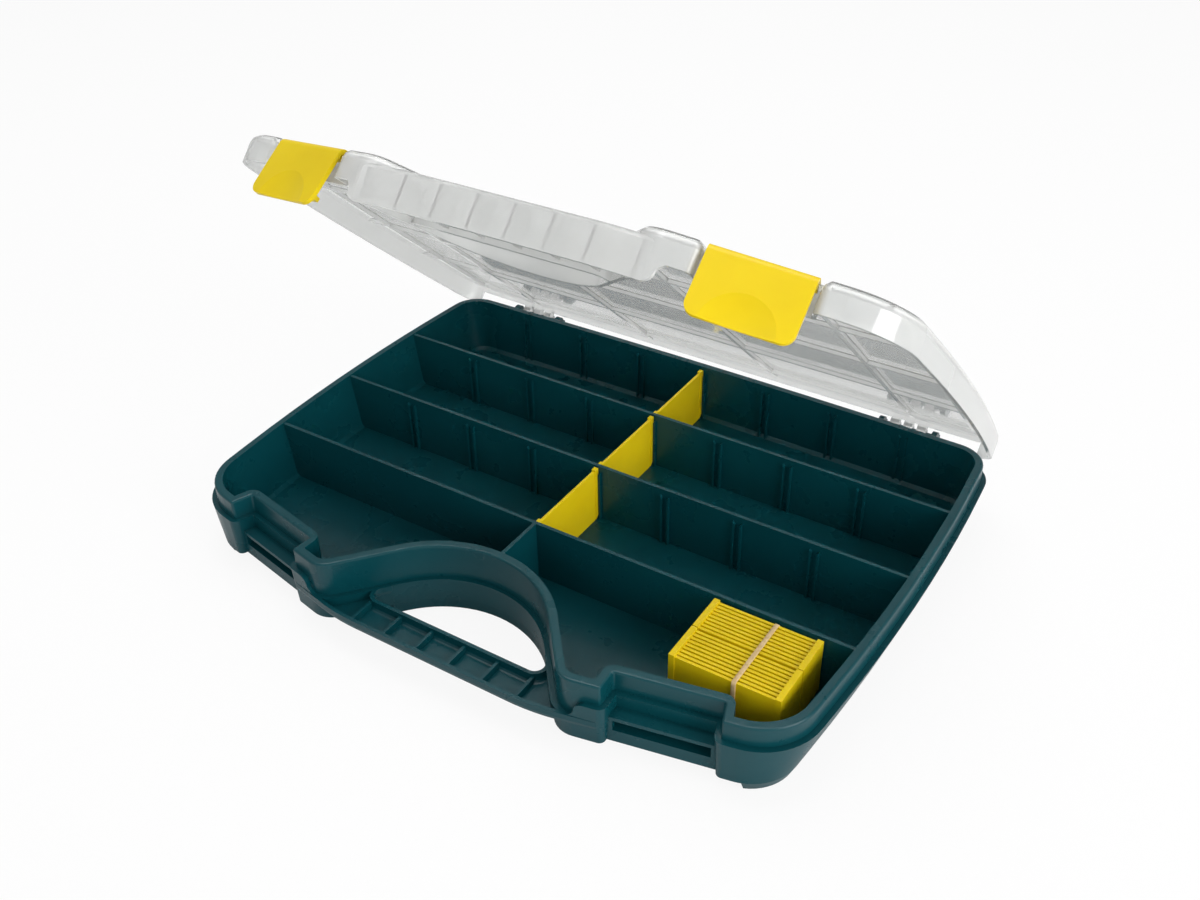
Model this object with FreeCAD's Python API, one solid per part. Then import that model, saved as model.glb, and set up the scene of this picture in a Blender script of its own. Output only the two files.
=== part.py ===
import FreeCAD, Part
import math
import os

# Carry case for small parts: a dark tray with cross walls and loose dividers, a clear lid on
# snap-on hinges, two snap latches and a carry handle moulded half in the tray, half in the lid.
# Millimetres. X runs along the hinge, Y from the handle to the hinge, Z up from the feet.

V = FreeCAD.Vector
X_AXIS = V(1, 0, 0)
Z_AXIS = V(0, 0, 1)

# Heights of the closed case, from the surface that it stands on
foot_height = 2.0
skirt_bottom_z = 6.0
arch_skirt_bottom_z = 0.5
handle_bottom_z = 13.0
handle_z = 20.0
ledge_z = 29.0
rim_z = 40.0
lid_top_z = 44.5
lid_handle_top_z = 39.5

# Plan of the rim's outer edge, right half, as corners of a shape with straight tangents
back_peak_y = 136.6
back_corner_x = 180.1
back_corner_y = 132.0
back_corner_radius = 18.0
side_peak_x = 188.6
side_peak_y = 12.5
front_corner_x = 177.5
front_corner_radius = 30.0
recess_x = 117.65
recess_y = -115.75
recess_turn = 11.5
recess_half_width = 26.3
recess_flare = 1.7
recess_depth = 11.8
recess_corner_radius = 1.5
nose_radius = 12.0
arch_apex_y = -84.0
arch_radius = 59.3
arch_slope = 50.0
bow_share = 0.95
least_corner_radius = 0.4

# Walls of the tray
rim_band = 4.5
ledge_out = 3.0
skirt_taper = 1.4
wall = 1.8
floor_thickness = 2.0
inner_draft = 0.5
side_draft = 4.0
side_taper = 6.0
back_taper = 3.0
inner_bevel = 2.0
rim_round = 1.2
shoulder_thickness = 2.0
wave_outer_x = 86.0
wave_inner_x = 76.0
front_zone_y = -62.0
foot_length = 46.0
foot_width = 10.0
foot_round = 2.5
foot_start = 13.0
arch_zone_x = 62.0

# Compartments
row_pitch = 60.0
first_wall_y = -50.0
cross_wall = 2.0
cross_wall_drop = 0.6
row_count = 3
slot_pitch = 43.76
slots_each_side = 3
guide_rib = 1.2
guide_depth = 1.6
guide_drop = 4.0
guide_flare = 1.3
web_drop = 0.6

# Latch catch in each recess
shelf_z = 21.0
shelf_out = 9.6
shelf_lip = 2.0
groove_height = 6.0
groove_in = 4.5

# Handle
handle_edge_y = -142.6
handle_end_x = 92.0
handle_end_y = -135.6
handle_shoulder_x = 60.0
handle_shoulder_radius = 120.0
grip_edge_y = -124.0
grip_corner_radius = 5.0
grip_root_y = -111.5
grip_root_in = 6.0
handle_wall = 2.0
handle_round = 4.0
handle_rib = 1.6
handle_rib_pitch = 20.0
handle_rib_drop = 1.5
handle_rib_count = 3

# Hinge
hinge_y = 139.0
hinge_z = 33.0
pin_radius = 2.5
pin_clearance = 0.05
clip_wall = 1.9
clip_mouth = 3.6
clip_width = 5.0
clip_pitch = 8.0
clips_each_side = 3
hinge_group_x = 130.0
ear_thickness = 3.0
ear_gap = 4.0
ear_back = 6.0
ear_stop_drop = 0.1
lid_rest_angle = 42.5

# Lid
lid_gap = 0.3
lid_inset = 0.2
lid_wall = 2.0
lid_round = 5.0
lid_inner_bevel = 2.0
hinge_zone_reach = 43.0
lattice_rib = 3.0
lattice_gap = 0.4
side_rib_x = 171.0
side_rib = 1.8
lattice_back_y = 126.0
lid_handle_round = 2.5
dome_slices = 3

# Latches
latch_width = 46.6
latch_thickness = 2.2
latch_face_out = 14.0
latch_bottom_z = 11.0
latch_top_drop = 1.0
latch_top_back = 4.0
latch_bend_radius = 3.5
latch_corner_radius = 5.5
pivot_out = 8.6
pivot_z = 40.6
pivot_radius = 1.3
barrel_wall = 1.25
pivot_engagement = 3.5
barb_reach = 5.8
barb_thickness = 2.2
barb_width = 36.0
scoop_radius = 90.0
scoop_depth = 1.5
scoop_drop = 1.0
notch_width = 3.0
notch_depth = 2.5
latch_rest_angle = 12.0

# Dividers
divider_thickness = 1.5
bead_thickness = 2.4
bead_length = 3.0
divider_fit = 0.5
bead_fit = 0.3
divider_top_drop = 1.5
floor_fit = 0.1
divider_chamfer = 3.5
bead_rise = 1.0

# Spare dividers
spare_per_stack = 9
spare_gap = 0.05
stack_gap = 0.6
bundle_x = 107.0
bundle_back_y = -53.0
band_width = 3.0
band_thickness = 0.9
band_offset_x = 32.0

# Cuts run past the faces that they open by this much
overrun = 1.0

floor_z = foot_height + floor_thickness
row_walls = [first_wall_y + row_pitch * n for n in range(row_count)]
slot_places = [slot_pitch * n for n in range(-slots_each_side, slots_each_side + 1)]
divider_width = row_pitch - cross_wall - 2 * divider_fit
divider_height = rim_z - divider_top_drop - floor_z - floor_fit


def recess_point(along, out):
    """Plan point in the right latch recess, from its wall's middle."""
    turn = math.radians(recess_turn)
    return (recess_x + along * math.cos(turn) + out * math.sin(turn),
            recess_y + along * math.sin(turn) - out * math.cos(turn))


def crossing(point_a, slope_a, point_b, slope_b):
    """Where two plan lines meet, each given by a point and a slope."""
    x = (point_b[1] - point_a[1] + slope_a * point_a[0] - slope_b * point_b[0]) / (slope_a - slope_b)
    return (x, point_a[1] + slope_a * (x - point_a[0]))


def turn_half_tangent(before, corner, after):
    """Tangent of half the turn at a corner."""
    heading_in = math.atan2(corner[1] - before[1], corner[0] - before[0])
    heading_out = math.atan2(after[1] - corner[1], after[0] - corner[0])
    turn = (heading_out - heading_in + math.pi) % (2 * math.pi) - math.pi
    return math.tan(abs(turn) / 2)


def bow_radius(before, corner, after, before_radius, after_radius):
    """Radius that bends a long edge at its peak over most of both runs."""
    runs = []
    for end, radius in ((before, before_radius), (after, after_radius)):
        runs.append(math.dist(end, corner) - radius)
    return bow_share * min(runs) / turn_half_tangent(before, corner, after)


def rim_corners(side_in=0, back_in=0):
    """Corners of the rim's outer edge, counter-clockwise, as x, y and radius.

    Lower down, the sides and the back stand further in and their corners are tighter.
    """
    front_slope = math.tan(math.radians(recess_turn))
    arch_slope_value = -math.tan(math.radians(arch_slope))
    apex_reach = arch_radius / math.cos(math.radians(arch_slope)) - arch_radius
    arch_peak = (0, arch_apex_y + apex_reach)
    mouth_left = recess_point(-recess_half_width - recess_flare, recess_depth)
    mouth_right = recess_point(recess_half_width + recess_flare, recess_depth)
    nose = crossing(mouth_left, front_slope, arch_peak, arch_slope_value)
    corner_x = front_corner_x - side_in
    front_corner = (corner_x, mouth_right[1] + front_slope * (corner_x - mouth_right[0]))
    front_radius = front_corner_radius - side_in
    side_peak = (side_peak_x - side_in, side_peak_y)
    back_corner = (back_corner_x - side_in, back_corner_y - back_in)
    corner_radius = back_corner_radius - side_in
    back_peak = (0, back_peak_y - back_in)
    side_radius = bow_radius(front_corner, side_peak, back_corner, front_radius, corner_radius)
    back_radius = bow_radius(back_corner, back_peak, (-back_corner[0], back_corner[1]),
                             corner_radius, corner_radius)
    right = [nose + (nose_radius,),
             mouth_left + (recess_corner_radius,),
             recess_point(-recess_half_width, 0) + (recess_corner_radius,),
             recess_point(recess_half_width, 0) + (recess_corner_radius,),
             mouth_right + (recess_corner_radius,),
             front_corner + (front_radius,),
             side_peak + (side_radius,),
             back_corner + (corner_radius,)]
    left = [(-x, y, radius) for x, y, radius in reversed(right)]
    return [arch_peak + (arch_radius,)] + right + [back_peak + (back_radius,)] + left


def grown(corners, growth):
    """The same corners with every edge moved outward by growth."""
    count = len(corners)
    lines = []
    for i in range(count):
        ax, ay = corners[i][:2]
        bx, by = corners[(i + 1) % count][:2]
        length = math.hypot(bx - ax, by - ay)
        ux, uy = (bx - ax) / length, (by - ay) / length
        lines.append((ax + uy * growth, ay - ux * growth, ux, uy))
    moved = []
    for i in range(count):
        px, py, ux, uy = lines[i - 1]
        qx, qy, vx, vy = lines[i]
        cross = ux * vy - uy * vx
        step = ((qx - px) * vy - (qy - py) * vx) / cross
        side = 1 if cross > 0 else -1
        radius = max(corners[i][2] + side * growth, least_corner_radius)
        moved.append((px + ux * step, py + uy * step, radius))
    return moved


def rounded_wire(corners, z):
    """Closed wire through corners at a height, with each corner an arc."""
    count = len(corners)
    arcs = []
    for i in range(count):
        here = V(corners[i][0], corners[i][1], z)
        before = V(corners[i - 1][0], corners[i - 1][1], z)
        after = V(corners[(i + 1) % count][0], corners[(i + 1) % count][1], z)
        back = (before - here).normalize()
        on = (after - here).normalize()
        half = back.getAngle(on) / 2
        reach = corners[i][2] / math.tan(half)
        inward = (back + on).normalize()
        middle = here + inward * (corners[i][2] / math.sin(half) - corners[i][2])
        arcs.append((here + back * reach, middle, here + on * reach))
    edges = []
    for i in range(count):
        edges.append(Part.LineSegment(arcs[i - 1][2], arcs[i][0]).toShape())
        edges.append(Part.Arc(*arcs[i]).toShape())
    return Part.Wire(edges)


def prism(corners, growth, low, high):
    """Straight solid on the grown corners between two heights."""
    face = Part.Face(rounded_wire(grown(corners, growth), low))
    return face.extrude(V(0, 0, high - low))


def tapered(low_corners, low_growth, low, high_corners, high_growth, high):
    """Solid whose outline changes evenly from low to high."""
    wires = [rounded_wire(grown(low_corners, low_growth), low),
             rounded_wire(grown(high_corners, high_growth), high)]
    return Part.makeLoft(wires, True, True)


def domed(corners, growth, low, top, radius):
    """Prism whose top edge is rounded by a stack of tapered slices."""
    solid = prism(corners, growth, low, top - radius)
    angles = [math.pi / 2 * n / dome_slices for n in range(dome_slices + 1)]
    steps = [(growth - radius * (1 - math.cos(a)), top - radius * (1 - math.sin(a))) for a in angles]
    slices = []
    for (growth_low, z_low), (growth_high, z_high) in zip(steps, steps[1:]):
        slices.append(tapered(corners, growth_low, z_low, corners, growth_high, z_high))
    return solid.fuse(slices).removeSplitter()


def bowl(corners, growth, low, top, radius):
    """Prism whose bottom edge is rounded in the same way."""
    return domed(corners, growth, low, top, radius).mirror(V(0, 0, (low + top) / 2), Z_AXIS)


def box(x0, x1, y0, y1, z0, z1):
    return Part.makeBox(x1 - x0, y1 - y0, z1 - z0, V(x0, y0, z0))


def mirrored(shape):
    return shape.mirror(V(0, 0, 0), X_AXIS)


def with_mirror(shapes):
    return shapes + [mirrored(shape) for shape in shapes]


def handle_corners():
    """Corners of the handle with its ends inside the lobes, counter-clockwise."""
    slope = -math.tan(math.radians(arch_slope))
    apex_reach = arch_radius / math.cos(math.radians(arch_slope)) - arch_radius
    line_shift = (ledge_out - lid_inset) / math.cos(math.radians(arch_slope))
    peak_y = arch_apex_y + apex_reach - line_shift
    grip_x = (grip_edge_y - peak_y) / slope
    root_x = (grip_root_y - peak_y) / slope
    right = [(handle_shoulder_x, handle_edge_y, handle_shoulder_radius),
             (handle_end_x, handle_end_y, least_corner_radius),
             (handle_end_x - grip_root_in, grip_edge_y, least_corner_radius),
             (root_x + 2 * grip_root_in, grip_root_y, least_corner_radius),
             (root_x, grip_root_y, least_corner_radius),
             (grip_x, grip_edge_y, grip_corner_radius)]
    left = [(-x, y, radius) for x, y, radius in reversed(right)]
    return right + left


RIM = rim_corners()
TUB_FLOOR = rim_corners(side_draft)
SKIRT_FOOT = rim_corners(side_taper, back_taper)
HANDLE = handle_corners()


def wave_points(lift):
    """The step between shoulder and handle parting line, as right-hand arc points."""
    width = wave_outer_x - wave_inner_x
    height = ledge_z - handle_z
    radius = (width ** 2 + height ** 2) / (4 * height)
    quarter = math.atan2(height, width)
    low = V(wave_inner_x, 0, handle_z + lift)
    centre = V(wave_inner_x + width / 2, 0, handle_z + height / 2 + lift)
    top = V(wave_outer_x, 0, ledge_z + lift)
    bend = V(radius * math.sin(quarter), 0, radius * (1 - math.cos(quarter)))
    return [low, low + bend, centre, top - bend, top]


def handle_zone(lift):
    """Space above the lowered parting line at the front, up to the shoulder."""
    right = wave_points(lift)
    left = [V(-p.x, p.y, p.z) for p in right]
    top = V(0, 0, overrun)
    edges = [Part.Arc(right[0], right[1], right[2]).toShape(),
             Part.Arc(right[2], right[3], right[4]).toShape(),
             Part.LineSegment(right[4], right[4] + top).toShape(),
             Part.LineSegment(right[4] + top, left[4] + top).toShape(),
             Part.LineSegment(left[4] + top, left[4]).toShape(),
             Part.Arc(left[4], left[3], left[2]).toShape(),
             Part.Arc(left[2], left[1], left[0]).toShape(),
             Part.LineSegment(left[0], right[0]).toShape()]
    face = Part.Face(Part.Wire(edges))
    depth = front_zone_y - handle_edge_y + ledge_out
    return face.extrude(V(0, -depth, 0)).translated(V(0, front_zone_y, 0))


def in_recess(shape):
    """Moves a shape built round the origin, forward -Y, into the right recess."""
    turned = shape.copy()
    turned.rotate(V(0, 0, 0), Z_AXIS, recess_turn)
    turned.translate(V(recess_x, recess_y, 0))
    return turned


def tray_cavity():
    """Inside of the tub, drafted, with a bevel round the floor."""
    floor_growth = -rim_band - inner_draft
    bevel_z = floor_z + inner_bevel
    bevel = tapered(TUB_FLOOR, floor_growth - inner_bevel, floor_z, TUB_FLOOR, floor_growth, bevel_z)
    body = tapered(TUB_FLOOR, floor_growth, bevel_z, RIM, -rim_band, rim_z)
    mouth = prism(RIM, -rim_band, rim_z, rim_z + overrun)
    return bevel.fuse([body, mouth])


def tub_outside():
    """Outside of the tub wall below the shoulder."""
    low_growth = -rim_band - inner_draft + wall
    bevel_z = foot_height + inner_bevel
    bevel = tapered(TUB_FLOOR, low_growth - inner_bevel, foot_height, TUB_FLOOR, low_growth, bevel_z)
    body = tapered(TUB_FLOOR, low_growth, bevel_z, RIM, wall - rim_band, rim_z)
    body = body.common(box(-side_peak_x, side_peak_x, handle_edge_y, back_peak_y, foot_height, ledge_z))
    return bevel.fuse(body)


def skirt():
    """Outer wall from the shoulder down, open below, with its top lowered at the handle."""
    out_low = ledge_out - skirt_taper
    low = tapered(SKIRT_FOOT, out_low, skirt_bottom_z, RIM, ledge_out, ledge_z)
    hollow_top = ledge_z - shoulder_thickness
    inside = tapered(SKIRT_FOOT, out_low - wall, skirt_bottom_z, RIM, ledge_out - wall, hollow_top)
    under_handle = handle_zone(-shoulder_thickness)
    low = low.cut(handle_zone(0))
    return low.cut(inside.cut(under_handle))


def arch_skirt():
    """Deeper part of the skirt along the arch, down to the finger gap's lower edge."""
    growth = ledge_out - skirt_taper
    ring = prism(SKIRT_FOOT, growth, arch_skirt_bottom_z, skirt_bottom_z)
    ring = ring.cut(prism(SKIRT_FOOT, growth - wall, arch_skirt_bottom_z, skirt_bottom_z))
    return ring.common(box(-arch_zone_x, arch_zone_x, grip_root_y, front_zone_y,
                           arch_skirt_bottom_z, skirt_bottom_z))


def corner_feet():
    """Solid feet under the four corners, in line with the skirt."""
    foot = tapered(SKIRT_FOOT, ledge_out - skirt_taper - foot_round, 0,
                   SKIRT_FOOT, ledge_out - skirt_taper, skirt_bottom_z)
    inner = prism(SKIRT_FOOT, -foot_width + side_taper, 0, skirt_bottom_z)
    ring = foot.cut(inner)
    front_end = recess_point(recess_half_width + recess_flare, 0)[0] + foot_start
    reach = side_peak_x + ledge_out
    back_edge = back_peak_y + ledge_out
    front_edge = handle_edge_y
    front = box(front_end, reach, front_edge, front_edge + foot_length, 0, skirt_bottom_z)
    back = box(back_corner_x - foot_length, reach, back_edge - foot_length, back_edge, 0, skirt_bottom_z)
    return [ring.common(piece) for piece in with_mirror([front, back])]


def catches():
    """Shelf under each latch, hollow from below, whose lip the latch's barb snaps under."""
    half = recess_half_width
    shelf = box(-half, half, -shelf_out, rim_band, skirt_bottom_z, shelf_z)
    return with_mirror([in_recess(shelf)])


def catch_grooves():
    """Room for the latch barbs under the shelves' lips, and the hollows below them."""
    half = recess_half_width - ledge_out
    high = shelf_z - shelf_lip
    low = high - groove_height
    groove = box(-half, half, -shelf_out, -groove_in, low, high)
    hollow = box(wall - half, half - wall, wall - shelf_out, -ledge_out, skirt_bottom_z, low - wall)
    return with_mirror([in_recess(groove), in_recess(hollow)])


def tray_handle():
    """Lower half of the handle, a ribbed channel with a rounded bottom."""
    block = bowl(HANDLE, 0, handle_bottom_z, handle_z, handle_round)
    channel = bowl(HANDLE, -handle_wall, handle_bottom_z + handle_wall, handle_z + overrun,
                   handle_round - handle_wall)
    channel = channel.cut(prism(RIM, ledge_out, handle_bottom_z, handle_z + overrun))
    ribs = []
    for n in range(handle_rib_count):
        x = handle_rib_pitch * (n + 1 / 2)
        ribs.append(box(x - handle_rib / 2, x + handle_rib / 2, handle_edge_y, grip_edge_y,
                        handle_bottom_z, handle_z - handle_rib_drop))
    ribs = [block.common(rib) for rib in with_mirror(ribs)]
    return block.cut(channel).fuse(ribs)


def cross_walls():
    """The three full-width walls and the web between arch and first wall."""
    top = rim_z - cross_wall_drop
    walls = []
    for y in row_walls:
        walls.append(box(-side_peak_x, side_peak_x, y - cross_wall / 2, y + cross_wall / 2,
                         foot_height, top))
    walls.append(box(-cross_wall / 2, cross_wall / 2, arch_apex_y, first_wall_y, foot_height,
                     rim_z - web_drop))
    inside = tray_cavity()
    return [wall_shape.common(inside) for wall_shape in walls]


def guide(x, y, reach):
    """Pair of ribs with sloped tops that hold one divider end, reach long from y."""
    top = rim_z - guide_drop
    pair = []
    for side in (-1, 1):
        inner = x + side * (bead_thickness / 2 + bead_fit)
        outer = inner + side * guide_rib
        points = [V(inner, y, floor_z), V(outer, y, floor_z), V(outer, y, top),
                  V(inner, y, top - guide_flare), V(inner, y, floor_z)]
        face = Part.Face(Part.makePolygon(points))
        pair.append(face.extrude(V(0, reach, 0)))
    return pair


def back_guides():
    """Guide ribs of the back row, grown out of the bowed back wall."""
    inner_end = row_walls[-1] + row_pitch - cross_wall / 2 - guide_depth
    inside = tray_cavity()
    ribs = []
    for x in slot_places:
        ribs += [rib.common(inside) for rib in guide(x, inner_end, back_peak_y - inner_end)]
    return ribs


def guides():
    """Guide ribs on both faces of every row, which hold the divider ends."""
    ribs = []
    for y in row_walls:
        for x in slot_places:
            ribs += guide(x, y, cross_wall / 2 + guide_depth)
            if y != row_walls[-1]:
                ribs += guide(x, y + row_pitch, -cross_wall / 2 - guide_depth)
    return ribs + back_guides()


def hinge_ears():
    """Ears with the hinge pin between them, one pair each side."""
    half_clips = clip_pitch * (clips_each_side - 1) / 2 + clip_width / 2
    inner = half_clips + ear_gap
    root = ledge_z - shoulder_thickness
    outer_radius = pin_radius + clip_wall
    pieces = []
    for side in (-1, 1):
        x = hinge_group_x + side * (inner + ear_thickness / 2) - ear_thickness / 2
        disc = Part.makeCylinder(outer_radius, ear_thickness, V(x, hinge_y, hinge_z), X_AXIS)
        foot = box(x, x + ear_thickness, back_corner_y, hinge_y + outer_radius, root - ear_back, hinge_z)
        stop = box(x, x + ear_thickness, hinge_y, hinge_y + ear_back, root - ear_back, hinge_z - ear_stop_drop)
        pieces += [disc, foot, stop]
    pin = Part.makeCylinder(pin_radius, 2 * inner, V(hinge_group_x - inner, hinge_y, hinge_z), X_AXIS)
    return with_mirror(pieces + [pin])


def hinge_pockets():
    """Room in the shoulder for the lid's clips."""
    half = clip_pitch * (clips_each_side - 1) / 2 + clip_width / 2 + ear_gap
    clear = pin_radius + clip_wall + 2 * lid_gap
    pocket = box(hinge_group_x - half, hinge_group_x + half, hinge_y - clear, hinge_y + clear,
                 hinge_z - clear, rim_z)
    return with_mirror([pocket])


def upper_limit():
    """Keeps the arch wall clear of the rounded rim edge."""
    return box(-side_peak_x, side_peak_x, handle_edge_y, back_peak_y, 0, rim_z - rim_round)


def make_tray():
    upper = domed(RIM, 0, ledge_z - shoulder_thickness, rim_z, rim_round)
    arch_front = prism(RIM, 0, handle_z - shoulder_thickness, rim_z)
    zone = box(-wave_outer_x, wave_outer_x, handle_edge_y, front_zone_y, handle_z - shoulder_thickness, rim_z)
    tray = tub_outside().fuse([skirt(), upper, arch_front.common(zone).common(upper_limit())])
    tray = tray.fuse(catches() + [tray_handle(), arch_skirt()] + corner_feet())
    tray = tray.cut(tray_cavity())
    tray = tray.cut(catch_grooves() + hinge_pockets())
    tray = tray.fuse(cross_walls() + guides() + hinge_ears())
    return tray.removeSplitter()


def lid_space():
    """Space above the tray's shoulder and lowered front parting line."""
    reach = side_peak_x + ledge_out
    above = box(-reach, reach, handle_edge_y - ledge_out, back_peak_y + ledge_out,
                ledge_z + lid_gap, lid_top_z)
    return above.fuse(handle_zone(lid_gap))


def lid_handle():
    """Upper half of the handle, open below, with cross ribs over the tray's."""
    low = handle_z + lid_gap
    block = domed(HANDLE, -lid_inset, low, lid_handle_top_z, lid_handle_round)
    inside = prism(HANDLE, -handle_wall - lid_inset, low, lid_handle_top_z - handle_wall)
    inside = inside.cut(prism(RIM, ledge_out - lid_inset, low, lid_handle_top_z))
    ribs = []
    for n in range(handle_rib_count):
        x = handle_rib_pitch * (n + 1 / 2)
        ribs.append(box(x - handle_rib / 2, x + handle_rib / 2, handle_edge_y, grip_edge_y,
                        low + handle_rib_drop, lid_handle_top_z - handle_wall / 2))
    ribs = [block.common(rib) for rib in with_mirror(ribs)]
    return block.cut(inside).fuse(ribs)


def lid_lattice():
    """Ribs under the lid that meet over the tray's cross walls and slots."""
    low = rim_z + lattice_gap
    high = lid_top_z - lid_wall / 2
    reach = side_peak_x
    front = handle_edge_y
    bars = []
    for y in row_walls:
        bars.append(box(-reach, reach, y - lattice_rib / 2, y + lattice_rib / 2, low, high))
    bars.append(box(-reach, reach, lattice_back_y - side_rib, lattice_back_y, low, high))
    for x in (slot_pitch, slots_each_side * slot_pitch):
        bars += with_mirror([box(x - lattice_rib / 2, x + lattice_rib / 2, front, back_peak_y, low, high)])
    bars += with_mirror([box(side_rib_x - side_rib, side_rib_x, front, back_peak_y, low, high)])
    half_wall = lid_wall / 2
    inside = domed(RIM, ledge_out - lid_inset - half_wall, low - lid_round, high, lid_round - half_wall)
    return [bar.common(inside) for bar in bars]


def clip_places():
    """X of each snap-on clip on the right."""
    middle = (clips_each_side - 1) / 2
    return [hinge_group_x + clip_pitch * (n - middle) for n in range(clips_each_side)]


def hinge_clips():
    """C-shaped clips that snap over the tray's pins, with their arms."""
    outer = pin_radius + clip_wall
    bore = pin_radius + pin_clearance
    arm_front = back_corner_y + ledge_out - lid_inset
    pieces = []
    for x in clip_places():
        start = V(x - clip_width / 2, hinge_y, hinge_z)
        ring = Part.makeCylinder(outer, clip_width, start, X_AXIS)
        arm = box(start.x, start.x + clip_width, arm_front, hinge_y, hinge_z, hinge_z + 2 * outer)
        hole = Part.makeCylinder(bore, clip_width, start, X_AXIS)
        mouth = box(start.x, start.x + clip_width, hinge_y - clip_mouth / 2, hinge_y + clip_mouth / 2,
                    hinge_z - outer, hinge_z)
        pieces.append(ring.fuse(arm).cut(hole).cut(mouth))
    return with_mirror(pieces)


def latch_pins():
    """Stub pins in the recess side walls that carry the latches."""
    half = recess_half_width
    start = latch_width / 2 - pivot_engagement
    pins = []
    for side in (-1, 1):
        length = half - start
        x = start if side > 0 else -start - length
        pins.append(Part.makeCylinder(pivot_radius, length, V(x, -pivot_out, pivot_z), X_AXIS))
    return with_mirror([in_recess(pin) for pin in pins])


def hinge_zone():
    """Part of the back skirt that is cut short for the ears and clips."""
    half = hinge_group_x + hinge_zone_reach
    clear = pin_radius + clip_wall + 2 * lid_gap
    return box(-half, half, back_corner_y - rim_band, back_peak_y + ledge_out, ledge_z, hinge_z + clear)


def lid_cavity():
    """Inside of the lid, narrowed under the rounded edge of its top."""
    growth = ledge_out - lid_inset - lid_wall
    high = lid_top_z - lid_wall
    bevel_z = high - lid_inner_bevel
    return prism(RIM, growth, handle_z, bevel_z).fuse(
        tapered(RIM, growth, bevel_z, RIM, growth - lid_inner_bevel, high))


def make_lid():
    """The clear lid in its closed place."""
    out = ledge_out - lid_inset
    block = domed(RIM, out, handle_z + lid_gap, lid_top_z, lid_round)
    cavity = lid_cavity()
    lid = block.common(lid_space())
    lid = lid.fuse(lid_handle().common(lid_space()))
    lid = lid.cut(cavity).cut(hinge_zone())
    lid = lid.fuse(lid_lattice() + hinge_clips() + latch_pins())
    return lid.removeSplitter()


def latch_profile():
    """Side view of the latch plate with its bent top, as a face."""
    low = latch_bottom_z
    top = lid_top_z - latch_top_drop
    outer = latch_face_out
    inner = outer - latch_thickness
    bend = latch_bend_radius
    small = bend - latch_thickness
    diagonal = math.sqrt(1 / 2)

    def at(out, z):
        return V(0, -out, z)
    edges = [Part.LineSegment(at(outer, low), at(outer, top - bend)).toShape(),
             Part.Arc(at(outer, top - bend),
                      at(outer - bend + bend * diagonal, top - bend + bend * diagonal),
                      at(outer - bend, top)).toShape(),
             Part.LineSegment(at(outer - bend, top), at(latch_top_back, top)).toShape(),
             Part.LineSegment(at(latch_top_back, top), at(latch_top_back, top - latch_thickness)).toShape(),
             Part.LineSegment(at(latch_top_back, top - latch_thickness),
                              at(outer - bend, top - latch_thickness)).toShape(),
             Part.Arc(at(outer - bend, top - latch_thickness),
                      at(outer - bend + small * diagonal, top - bend + small * diagonal),
                      at(inner, top - bend)).toShape(),
             Part.LineSegment(at(inner, top - bend), at(inner, low)).toShape(),
             Part.LineSegment(at(inner, low), at(outer, low)).toShape()]
    return Part.Face(Part.Wire(edges))


def latch_outline():
    """Front view of the latch with rounded lower corners, deep enough to trim it."""
    low = latch_bottom_z
    half = latch_width / 2
    corners = [(-half, low, latch_corner_radius), (half, low, latch_corner_radius),
               (half, lid_top_z, least_corner_radius), (-half, lid_top_z, least_corner_radius)]
    face = Part.Face(rounded_wire(corners, 0))
    solid = face.extrude(V(0, 0, 2 * latch_face_out))
    solid.rotate(V(0, 0, 0), X_AXIS, 90)
    return solid


def make_latch():
    """Snap latch in its closed place, round the recess's own origin."""
    half = latch_width / 2
    plate = latch_profile().extrude(V(latch_width, 0, 0)).translated(V(-half, 0, 0))
    plate = plate.common(latch_outline())
    barrel = Part.makeCylinder(pivot_radius + barrel_wall, latch_width, V(-half, -pivot_out, pivot_z), X_AXIS)
    barb_top = shelf_z - shelf_lip - lid_gap
    inner_face = latch_face_out - latch_thickness / 2
    barb = box(-barb_width / 2, barb_width / 2, -inner_face, -barb_reach, barb_top - barb_thickness, barb_top)
    bore = Part.makeCylinder(pivot_radius + pin_clearance, latch_width, V(-half, -pivot_out, pivot_z), X_AXIS)
    scoop_z = latch_bottom_z - scoop_drop
    scoop = Part.makeSphere(scoop_radius, V(0, -latch_face_out + scoop_depth - scoop_radius, scoop_z))
    notch = box(-notch_width / 2, notch_width / 2, -latch_top_back - notch_depth, 0,
                lid_top_z - latch_top_drop - latch_thickness, lid_top_z)
    latch = plate.fuse([barrel, barb]).cut([bore, scoop, notch])
    return latch.removeSplitter()


def opened_latch(latch):
    """Latch swung out to its rest place."""
    turned = latch.copy()
    turned.rotate(V(0, -pivot_out, pivot_z), X_AXIS, -latch_rest_angle)
    return in_recess(turned)


def lid_at_rest(shape):
    """Lid piece turned from closed to its open rest place."""
    turned = shape.copy()
    turned.rotate(V(0, hinge_y, hinge_z), X_AXIS, -lid_rest_angle)
    return turned


def make_divider():
    """Divider plate with a bead down each end, standing on z = 0, length along Y."""
    half = divider_width / 2
    cut = divider_chamfer

    def slab(thickness, top):
        points = [V(0, -half, cut), V(0, cut - half, 0), V(0, half - cut, 0), V(0, half, cut),
                  V(0, half, top), V(0, -half, top), V(0, -half, cut)]
        face = Part.Face(Part.makePolygon(points))
        return face.extrude(V(thickness, 0, 0)).translated(V(-thickness / 2, 0, 0))
    plate = slab(divider_thickness, divider_height - bead_rise)
    ends = slab(bead_thickness, divider_height)
    middle = box(-bead_thickness, bead_thickness, bead_length - half, half - bead_length, 0, divider_height)
    return plate.fuse(ends.cut(middle)).removeSplitter()


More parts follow.
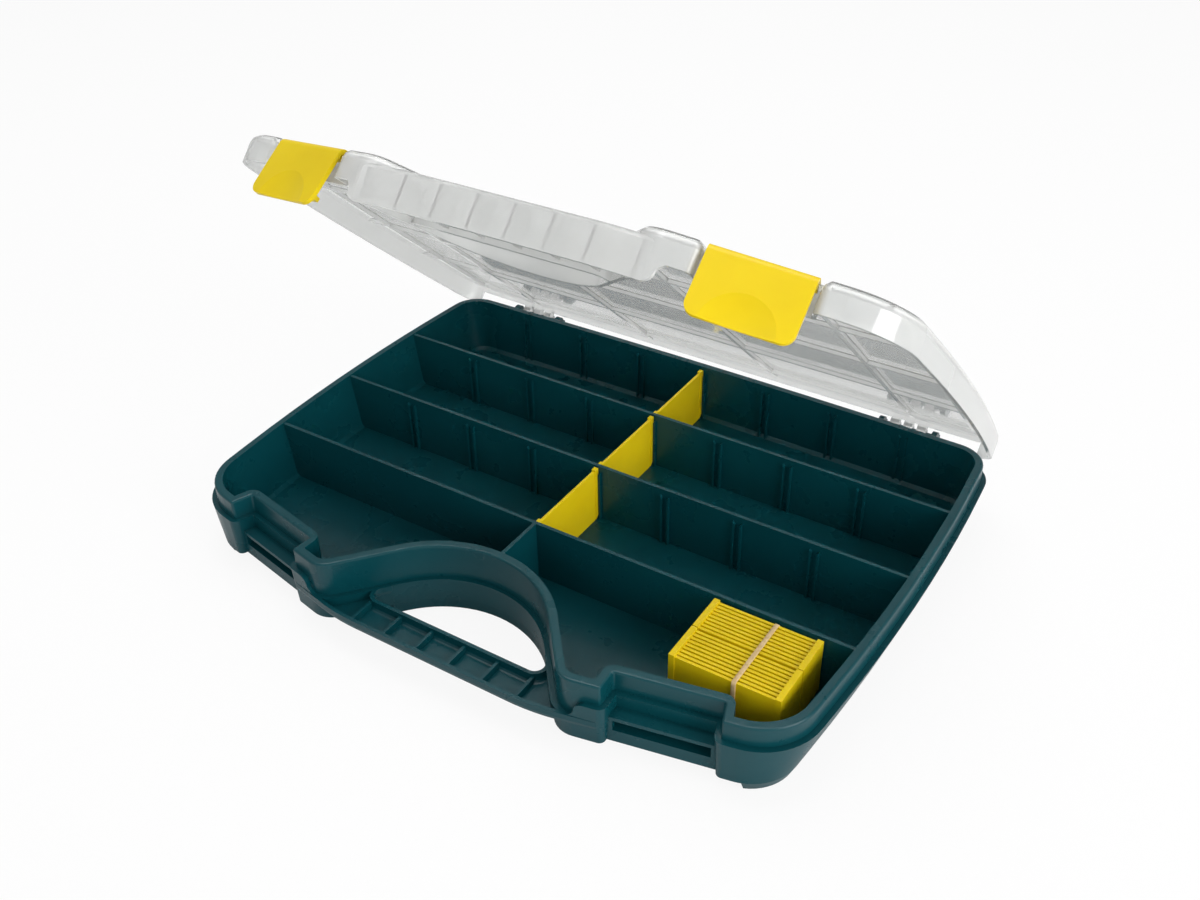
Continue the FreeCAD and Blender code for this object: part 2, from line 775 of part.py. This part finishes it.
def spare_dividers():
    """The spare dividers on edge in two stacks, back stack first."""
    pitch = bead_thickness + spare_gap
    lift = floor_z + floor_fit + band_thickness + spare_gap
    spare = make_divider()
    spare.rotate(V(0, 0, 0), Z_AXIS, 90)
    spares = []
    for n in range(2 * spare_per_stack):
        y = bundle_back_y - bead_thickness / 2 - pitch * n
        if n >= spare_per_stack:
            y -= stack_gap
        spares.append(spare.translated(V(bundle_x + divider_width / 2, y, lift)))
    return spares


def rubber_band(spares):
    """Band round both stacks at mid-length, resting on their faces."""
    slack = (bead_thickness - divider_thickness) / 2 - spare_gap
    back = spares[0].BoundBox.YMax - slack
    front = spares[-1].BoundBox.YMin + slack
    low = spares[0].BoundBox.ZMin - spare_gap
    high = spares[0].BoundBox.ZMax - bead_rise + spare_gap
    grow = band_thickness
    loops = []
    for growth in (0, grow):
        corners = [(front - growth, low - growth, least_corner_radius + growth),
                   (back + growth, low - growth, least_corner_radius + growth),
                   (back + growth, high + growth, least_corner_radius + growth),
                   (front - growth, high + growth, least_corner_radius + growth)]
        loop = Part.Face(rounded_wire(corners, 0)).extrude(V(0, 0, band_width))
        loop.rotate(V(0, 0, 0), V(1, 1, 1), 120)
        loops.append(loop)
    band = loops[1].cut(loops[0])
    return band.translated(V(bundle_x + band_offset_x, 0, 0))


def fitted_dividers():
    """One divider in the middle slot of each row, back row first."""
    dividers = []
    for y in reversed(row_walls):
        dividers.append(make_divider().translated(V(0, y + row_pitch / 2, floor_z + floor_fit)))
    return dividers


def export(name, shape):
    shape.exportStep("parts/" + name + ".step")
    print(name, shape.isValid(), len(shape.Solids), round(shape.Volume, 1))


os.makedirs("parts", exist_ok=True)
export("tray", make_tray())
export("lid", lid_at_rest(make_lid()))
latch_right = lid_at_rest(opened_latch(make_latch()))
export("latch_right", latch_right)
export("latch_left", mirrored(latch_right))
for number, divider in enumerate(fitted_dividers(), 1):
    export("divider_row_%d" % number, divider)
stacked = spare_dividers()
for number, spare in enumerate(stacked, 1):
    export("spare_divider_%02d" % number, spare)
export("rubber_band", rubber_band(stacked))
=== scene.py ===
import math

import bmesh
import bpy
from mathutils import Matrix, Vector


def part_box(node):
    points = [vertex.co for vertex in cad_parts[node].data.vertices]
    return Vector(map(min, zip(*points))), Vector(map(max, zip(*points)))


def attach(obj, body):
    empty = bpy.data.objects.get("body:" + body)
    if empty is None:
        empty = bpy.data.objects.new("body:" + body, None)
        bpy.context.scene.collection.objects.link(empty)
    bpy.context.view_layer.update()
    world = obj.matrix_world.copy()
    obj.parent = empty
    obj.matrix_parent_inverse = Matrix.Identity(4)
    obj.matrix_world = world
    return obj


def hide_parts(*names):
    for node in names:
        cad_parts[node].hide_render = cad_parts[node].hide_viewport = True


# The camera of the photograph, worked out from the tray's rim, its walls and the latches. It
# stands in front of the case and to its right, and looks down on it.
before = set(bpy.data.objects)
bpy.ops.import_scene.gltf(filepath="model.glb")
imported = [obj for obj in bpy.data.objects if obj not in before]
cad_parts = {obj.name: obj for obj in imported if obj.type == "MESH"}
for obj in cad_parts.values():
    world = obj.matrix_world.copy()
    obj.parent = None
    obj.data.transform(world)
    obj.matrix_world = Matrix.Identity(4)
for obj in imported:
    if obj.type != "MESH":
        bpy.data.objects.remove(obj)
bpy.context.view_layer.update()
bpy.ops.object.select_all(action="DESELECT")
bpy.context.scene.view_settings.view_transform = "Standard"
camera_data = bpy.data.cameras.new("photo_camera")
camera = bpy.data.objects.new("photo_camera", camera_data)
bpy.context.scene.collection.objects.link(camera)
camera_data.sensor_width = 36
camera_data.lens = 38.18
camera_data.clip_start = 0.05
camera_data.clip_end = 20
camera_azimuth = math.radians(33.103)
camera_elevation = math.radians(35.065)
camera_roll = math.radians(-0.979)
camera_place = (0.3125, -0.4669, 0.4495)
camera.matrix_world = (Matrix.Translation(camera_place)
                       @ Matrix.Rotation(camera_azimuth, 4, "Z")
                       @ Matrix.Rotation(math.pi / 2 - camera_elevation, 4, "X")
                       @ Matrix.Rotation(camera_roll, 4, "Z"))
bpy.context.scene.camera = camera

# White studio table. It shows white to the camera and still carries the soft shadow that the
# case throws round its feet.
table_size = 8
table_drop = 0.0003
bpy.ops.mesh.primitive_plane_add(size=table_size, location=(0, 0, -table_drop))
table = bpy.context.object
table.name = "studio_table"
table_paint = bpy.data.materials.new("table_white")
table_paint.use_nodes = True
nodes, links = table_paint.node_tree.nodes, table_paint.node_tree.links
nodes["Principled BSDF"].inputs["Base Color"].default_value = (0.8, 0.8, 0.8, 1)
nodes["Principled BSDF"].inputs["Roughness"].default_value = 0.9
nodes["Principled BSDF"].inputs["Specular IOR Level"].default_value = 0.1
table_white = nodes.new("ShaderNodeEmission")
table_white.inputs["Color"].default_value = (1, 1, 1, 1)
table_ray = nodes.new("ShaderNodeLightPath")
table_seen = nodes.new("ShaderNodeMath")
table_seen.operation = "MAXIMUM"
links.new(table_ray.outputs["Is Camera Ray"], table_seen.inputs[0])
links.new(table_ray.outputs["Is Transmission Ray"], table_seen.inputs[1])
table_share = nodes.new("ShaderNodeMath")
table_share.operation = "MULTIPLY"
table_share.inputs[1].default_value = 0.9
links.new(table_seen.outputs[0], table_share.inputs[0])
table_mix = nodes.new("ShaderNodeMixShader")
links.new(table_share.outputs[0], table_mix.inputs["Fac"])
links.new(nodes["Principled BSDF"].outputs["BSDF"], table_mix.inputs[1])
links.new(table_white.outputs["Emission"], table_mix.inputs[2])
links.new(table_mix.outputs["Shader"], nodes["Material Output"].inputs["Surface"])
table.data.materials.append(table_paint)

# Studio light: a pale room, a large soft box overhead and to the left, a smaller one in front and
# one to the right. The room shows white to the camera and through the clear lid.
world = bpy.data.worlds.new("pale_room")
bpy.context.scene.world = world
world.use_nodes = True
nodes, links = world.node_tree.nodes, world.node_tree.links
nodes["Background"].inputs["Color"].default_value = (1, 1, 1, 1)
nodes["Background"].inputs["Strength"].default_value = 0.42
room_white = nodes.new("ShaderNodeBackground")
room_white.inputs["Color"].default_value = (1, 1, 1, 1)
room_white.inputs["Strength"].default_value = 1
room_ray = nodes.new("ShaderNodeLightPath")
room_seen = nodes.new("ShaderNodeMath")
room_seen.operation = "MAXIMUM"
links.new(room_ray.outputs["Is Camera Ray"], room_seen.inputs[0])
links.new(room_ray.outputs["Is Transmission Ray"], room_seen.inputs[1])
room_mix = nodes.new("ShaderNodeMixShader")
links.new(room_seen.outputs[0], room_mix.inputs["Fac"])
links.new(nodes["Background"].outputs["Background"], room_mix.inputs[1])
links.new(room_white.outputs["Background"], room_mix.inputs[2])
links.new(room_mix.outputs["Shader"], nodes["World Output"].inputs["Surface"])
soft_boxes = (("overhead_box", (-0.25, 0.3, 1.5), 1.0, 13),
              ("front_box", (0.5, -1.5, 0.7), 0.8, 4),
              ("right_box", (1.5, -0.3, 0.6), 0.9, 17))
lit_point = Vector((0, 0, 0.05))
for light_name, light_place, light_size, light_watts in soft_boxes:
    light_data = bpy.data.lights.new(light_name, "AREA")
    light_data.shape = "SQUARE"
    light_data.size = light_size
    light_data.energy = light_watts
    light = bpy.data.objects.new(light_name, light_data)
    bpy.context.scene.collection.objects.link(light)
    light.location = light_place
    light.rotation_mode = "QUATERNION"
    light.rotation_quaternion = (lit_point - Vector(light_place)).to_track_quat("-Z", "Y")

# The tray: one injection moulding of dark green-blue polypropylene, which carries all the rest. Its
# skin has a fine grain and an uneven sheen, and the resin shows faint paler clouds.
tray_plastic = bpy.data.materials.new("tray_green_plastic")
tray_plastic.use_nodes = True
nodes, links = tray_plastic.node_tree.nodes, tray_plastic.node_tree.links
tray_shader = nodes["Principled BSDF"]
tray_shader.inputs["IOR"].default_value = 1.49
tray_shader.inputs["Specular IOR Level"].default_value = 0.3
tray_place = nodes.new("ShaderNodeTexCoord")
tray_flow = nodes.new("ShaderNodeTexNoise")
tray_flow.inputs["Scale"].default_value = 11
tray_flow.inputs["Detail"].default_value = 4
tray_flow.inputs["Distortion"].default_value = 0.6
links.new(tray_place.outputs["Object"], tray_flow.inputs["Vector"])
tray_tint = nodes.new("ShaderNodeValToRGB")
tray_tint.color_ramp.elements[0].position = 0.32
tray_tint.color_ramp.elements[0].color = (0.0011, 0.045, 0.057, 1)
tray_tint.color_ramp.elements[1].position = 0.72
tray_tint.color_ramp.elements[1].color = (0.0020, 0.057, 0.070, 1)
links.new(tray_flow.outputs["Fac"], tray_tint.inputs["Fac"])
links.new(tray_tint.outputs["Color"], tray_shader.inputs["Base Color"])
tray_sheen = nodes.new("ShaderNodeTexNoise")
tray_sheen.inputs["Scale"].default_value = 45
tray_sheen.inputs["Detail"].default_value = 5
links.new(tray_place.outputs["Object"], tray_sheen.inputs["Vector"])
tray_rough = nodes.new("ShaderNodeMapRange")
tray_rough.inputs["To Min"].default_value = 0.24
tray_rough.inputs["To Max"].default_value = 0.32
links.new(tray_sheen.outputs["Fac"], tray_rough.inputs["Value"])
links.new(tray_rough.outputs["Result"], tray_shader.inputs["Roughness"])
tray_grain = nodes.new("ShaderNodeTexNoise")
tray_grain.inputs["Scale"].default_value = 1300
tray_grain.inputs["Detail"].default_value = 2
links.new(tray_place.outputs["Object"], tray_grain.inputs["Vector"])
tray_bump = nodes.new("ShaderNodeBump")
tray_bump.inputs["Strength"].default_value = 0.1
tray_bump.inputs["Distance"].default_value = 0.0002
links.new(tray_grain.outputs["Fac"], tray_bump.inputs["Height"])
links.new(tray_bump.outputs["Normal"], tray_shader.inputs["Normal"])
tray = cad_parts["tray"]
tray.data.materials.clear()
tray.data.materials.append(tray_plastic)

# The lid: one moulding of natural polypropylene, clipped onto the tray's hinge pins. Its thin top
# panel is see-through with faint flow waves, and the ribs and the skirt below it are milkier.
lid_plastic = bpy.data.materials.new("lid_clear_plastic")
lid_plastic.use_nodes = True
nodes, links = lid_plastic.node_tree.nodes, lid_plastic.node_tree.links
lid_shader = nodes["Principled BSDF"]
lid_shader.inputs["IOR"].default_value = 1.49
lid_place = nodes.new("ShaderNodeTexCoord")
lid_milk = nodes.new("ShaderNodeTexNoise")
lid_milk.inputs["Scale"].default_value = 9
lid_milk.inputs["Detail"].default_value = 4
links.new(lid_place.outputs["Object"], lid_milk.inputs["Vector"])
lid_tint = nodes.new("ShaderNodeValToRGB")
lid_tint.color_ramp.elements[0].position = 0.3
lid_tint.color_ramp.elements[0].color = (0.90, 0.91, 0.90, 1)
lid_tint.color_ramp.elements[1].position = 0.7
lid_tint.color_ramp.elements[1].color = (0.955, 0.96, 0.95, 1)
links.new(lid_milk.outputs["Fac"], lid_tint.inputs["Fac"])
links.new(lid_tint.outputs["Color"], lid_shader.inputs["Base Color"])
lid_rough = nodes.new("ShaderNodeMapRange")
lid_rough.inputs["To Min"].default_value = 0.05
lid_rough.inputs["To Max"].default_value = 0.13
links.new(lid_milk.outputs["Fac"], lid_rough.inputs["Value"])
links.new(lid_rough.outputs["Result"], lid_shader.inputs["Roughness"])
lid_wave = nodes.new("ShaderNodeTexNoise")
lid_wave.inputs["Scale"].default_value = 38
lid_wave.inputs["Detail"].default_value = 2
links.new(lid_place.outputs["Object"], lid_wave.inputs["Vector"])
lid_bump = nodes.new("ShaderNodeBump")
lid_bump.inputs["Strength"].default_value = 0.12
lid_bump.inputs["Distance"].default_value = 0.0006
links.new(lid_wave.outputs["Fac"], lid_bump.inputs["Height"])
links.new(lid_bump.outputs["Normal"], lid_shader.inputs["Normal"])
lid_open = math.radians(42.5)
hinge_y = 0.139
hinge_z = 0.033
closed_lid_top = 0.0445
milky_below = 0.0026
clear_above = 0.0018
lid_up = nodes.new("ShaderNodeVectorMath")
lid_up.operation = "DOT_PRODUCT"
lid_up.inputs[1].default_value = (0, math.sin(lid_open), math.cos(lid_open))
links.new(lid_place.outputs["Object"], lid_up.inputs[0])
lid_hinge_height = hinge_y * math.sin(lid_open) + hinge_z * math.cos(lid_open)
lid_panel_top = lid_hinge_height + closed_lid_top - hinge_z
lid_clear = nodes.new("ShaderNodeMapRange")
lid_clear.inputs["From Min"].default_value = lid_panel_top - milky_below
lid_clear.inputs["From Max"].default_value = lid_panel_top - clear_above
lid_clear.inputs["To Min"].default_value = 0.66
lid_clear.inputs["To Max"].default_value = 0.9
links.new(lid_up.outputs["Value"], lid_clear.inputs["Value"])
links.new(lid_clear.outputs["Result"], lid_shader.inputs["Transmission Weight"])
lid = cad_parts["lid"]
lid.data.materials.clear()
lid.data.materials.append(lid_plastic)

# Latches and dividers: mouldings of lemon yellow polypropylene with a satin skin. The latches turn
# on the lid's pivots, and the dividers stand loose in the tray. Fine scuffs run along the plates.
yellow_plastic = bpy.data.materials.new("yellow_plastic")
yellow_plastic.use_nodes = True
nodes, links = yellow_plastic.node_tree.nodes, yellow_plastic.node_tree.links
yellow_shader = nodes["Principled BSDF"]
yellow_shader.inputs["IOR"].default_value = 1.49
yellow_shader.inputs["Specular IOR Level"].default_value = 0.25
yellow_shader.inputs["Subsurface Weight"].default_value = 0.3
yellow_shader.inputs["Subsurface Radius"].default_value = (0.004, 0.003, 0.0004)
yellow_place = nodes.new("ShaderNodeTexCoord")
yellow_cloud = nodes.new("ShaderNodeTexNoise")
yellow_cloud.inputs["Scale"].default_value = 30
yellow_cloud.inputs["Detail"].default_value = 3
links.new(yellow_place.outputs["Object"], yellow_cloud.inputs["Vector"])
yellow_tint = nodes.new("ShaderNodeValToRGB")
yellow_tint.color_ramp.elements[0].position = 0.3
yellow_tint.color_ramp.elements[0].color = (0.735, 0.54, 0.004, 1)
yellow_tint.color_ramp.elements[1].position = 0.7
yellow_tint.color_ramp.elements[1].color = (0.80, 0.60, 0.006, 1)
links.new(yellow_cloud.outputs["Fac"], yellow_tint.inputs["Fac"])
links.new(yellow_tint.outputs["Color"], yellow_shader.inputs["Base Color"])
yellow_scuff_place = nodes.new("ShaderNodeMapping")
yellow_scuff_place.inputs["Scale"].default_value = (60, 900, 300)
links.new(yellow_place.outputs["Object"], yellow_scuff_place.inputs["Vector"])
yellow_scuff = nodes.new("ShaderNodeTexNoise")
yellow_scuff.inputs["Scale"].default_value = 1
yellow_scuff.inputs["Detail"].default_value = 3
links.new(yellow_scuff_place.outputs["Vector"], yellow_scuff.inputs["Vector"])
yellow_rough = nodes.new("ShaderNodeMapRange")
yellow_rough.inputs["To Min"].default_value = 0.26
yellow_rough.inputs["To Max"].default_value = 0.44
links.new(yellow_scuff.outputs["Fac"], yellow_rough.inputs["Value"])
links.new(yellow_rough.outputs["Result"], yellow_shader.inputs["Roughness"])
yellow_bump = nodes.new("ShaderNodeBump")
yellow_bump.inputs["Strength"].default_value = 0.08
yellow_bump.inputs["Distance"].default_value = 0.0002
links.new(yellow_scuff.outputs["Fac"], yellow_bump.inputs["Height"])
links.new(yellow_bump.outputs["Normal"], yellow_shader.inputs["Normal"])
for node_name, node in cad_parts.items():
    if node_name.startswith(("latch", "divider", "spare")):
        node.data.materials.clear()
        node.data.materials.append(yellow_plastic)

# Rubber band: a flat ring of natural rubber stretched round both stacks of spare dividers. It is
# drawn tight over their edges with rounded bends; the real band thins there, the mesh keeps one
# thickness.
band_rubber = bpy.data.materials.new("band_rubber")
band_rubber.use_nodes = True
nodes, links = band_rubber.node_tree.nodes, band_rubber.node_tree.links
band_shader = nodes["Principled BSDF"]
band_shader.inputs["Roughness"].default_value = 0.5
band_shader.inputs["Subsurface Weight"].default_value = 0.2
band_shader.inputs["Subsurface Radius"].default_value = (0.003, 0.002, 0.001)
band_place = nodes.new("ShaderNodeTexCoord")
band_speck = nodes.new("ShaderNodeTexNoise")
band_speck.inputs["Scale"].default_value = 420
band_speck.inputs["Detail"].default_value = 4
links.new(band_place.outputs["Object"], band_speck.inputs["Vector"])
band_tint = nodes.new("ShaderNodeValToRGB")
band_tint.color_ramp.elements[0].position = 0.3
band_tint.color_ramp.elements[0].color = (0.56, 0.38, 0.17, 1)
band_tint.color_ramp.elements[1].position = 0.7
band_tint.color_ramp.elements[1].color = (0.74, 0.55, 0.30, 1)
links.new(band_speck.outputs["Fac"], band_tint.inputs["Fac"])
links.new(band_tint.outputs["Color"], band_shader.inputs["Base Color"])
band_bump = nodes.new("ShaderNodeBump")
band_bump.inputs["Strength"].default_value = 0.3
band_bump.inputs["Distance"].default_value = 0.0002
links.new(band_speck.outputs["Fac"], band_bump.inputs["Height"])
links.new(band_bump.outputs["Normal"], band_shader.inputs["Normal"])
band_low, band_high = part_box("rubber_band")
band_size = band_high - band_low
band_thickness = 0.0009
band_width = 0.0023
band_bend = 0.0012
band_bend_steps = 5
band_edge_round = 0.0003
bpy.ops.mesh.primitive_cube_add(size=1, location=(band_low + band_high) / 2)
band = bpy.context.object
band.name = "stretched_band"
band.dimensions = (band_width, band_size.y - 2 * band_thickness, band_size.z - 2 * band_thickness)
bpy.ops.object.transform_apply(location=True, rotation=True, scale=True)
bpy.ops.object.mode_set(mode="EDIT")
bpy.ops.mesh.select_mode(type="EDGE")
band_mesh = bmesh.from_edit_mesh(band.data)
for edge in band_mesh.edges:
    run = edge.verts[0].co - edge.verts[1].co
    edge.select_set(abs(run.x) > band_width / 2)
bmesh.update_edit_mesh(band.data)
bpy.ops.mesh.bevel(offset=band_bend, segments=band_bend_steps)
bpy.ops.mesh.select_all(action="DESELECT")
bpy.ops.mesh.select_mode(type="FACE")
end_face = 0.9
band_mesh = bmesh.from_edit_mesh(band.data)
for face in band_mesh.faces:
    face.select_set(abs(face.normal.x) > end_face)
bmesh.update_edit_mesh(band.data)
bpy.ops.mesh.delete(type="FACE")
bpy.ops.mesh.select_all(action="SELECT")
bpy.ops.mesh.normals_make_consistent(inside=False)
bpy.ops.object.mode_set(mode="OBJECT")
band_wall = band.modifiers.new("rubber_thickness", "SOLIDIFY")
band_wall.thickness = band_thickness
band_wall.offset = 1
bpy.ops.object.modifier_apply(modifier="rubber_thickness")
band_edge = band.modifiers.new("soft_edges", "BEVEL")
band_edge.width = band_edge_round
band_edge.segments = 2
band_edge.angle_limit = math.radians(50)
bpy.ops.object.modifier_apply(modifier="soft_edges")
bpy.ops.object.shade_smooth_by_angle(angle=math.radians(45))
band.data.materials.append(band_rubber)
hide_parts("rubber_band")
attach(band, "spares")
bpy.ops.object.select_all(action="DESELECT")
